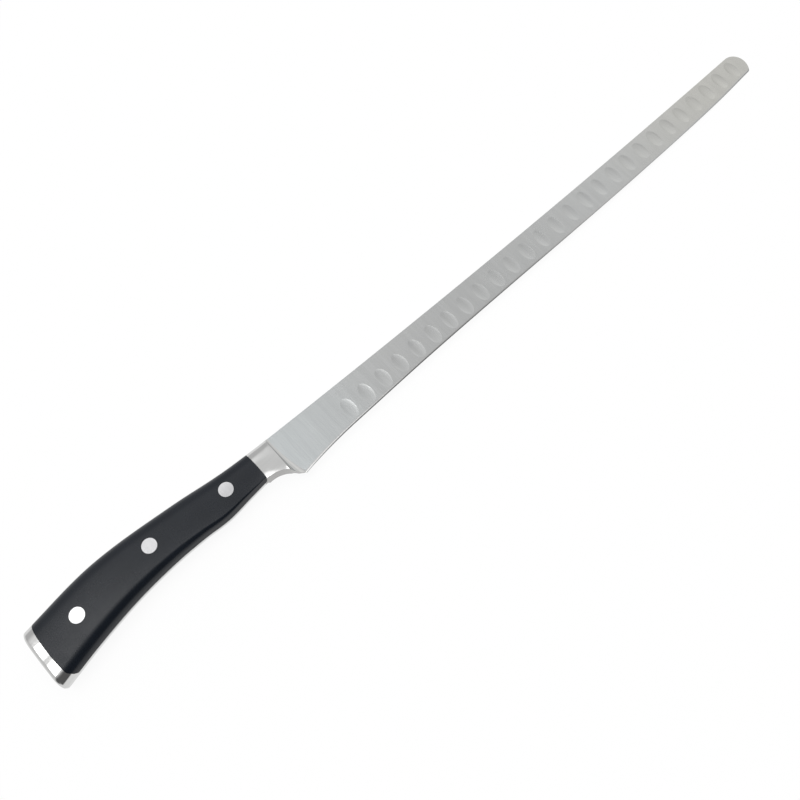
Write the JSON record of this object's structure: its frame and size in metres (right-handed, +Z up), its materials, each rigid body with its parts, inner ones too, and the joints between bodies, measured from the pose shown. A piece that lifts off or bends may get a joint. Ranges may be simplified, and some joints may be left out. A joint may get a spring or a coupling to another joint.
{
  "type": "ham knife",
  "caption": "Long slender slicing knife with a round-tipped scalloped blade, a forged half bolster, dark riveted scales on a full tang and a steel butt cap.",
  "frame": {"origin": "on the table under the middle of the knife's bounding box, with the knife lying on its side", "axes": "+X from the butt to the tip, +Y from the cutting edge to the spine, +Z up, out of the blade's upper side"},
  "size_m": [0.4446, 0.0322, 0.0134],
  "materials": {
    "forged_steel": "satin ground blade, polished bolster and butt cap",
    "scale_resin": "satin moulded, near black",
    "rivet_steel": "ground flush, fine satin"
  },
  "bodies": {
    "root": {"forged_blade_and_tang": "forged_steel", "scale_upper": "scale_resin", "scale_lower": "scale_resin", "rivet_pin_front": "rivet_steel", "rivet_pin_middle": "rivet_steel", "rivet_pin_rear": "rivet_steel", "rivet_sleeve_front": "rivet_steel", "rivet_sleeve_middle": "rivet_steel", "rivet_sleeve_rear": "rivet_steel"}
  },
  "joints": []
}
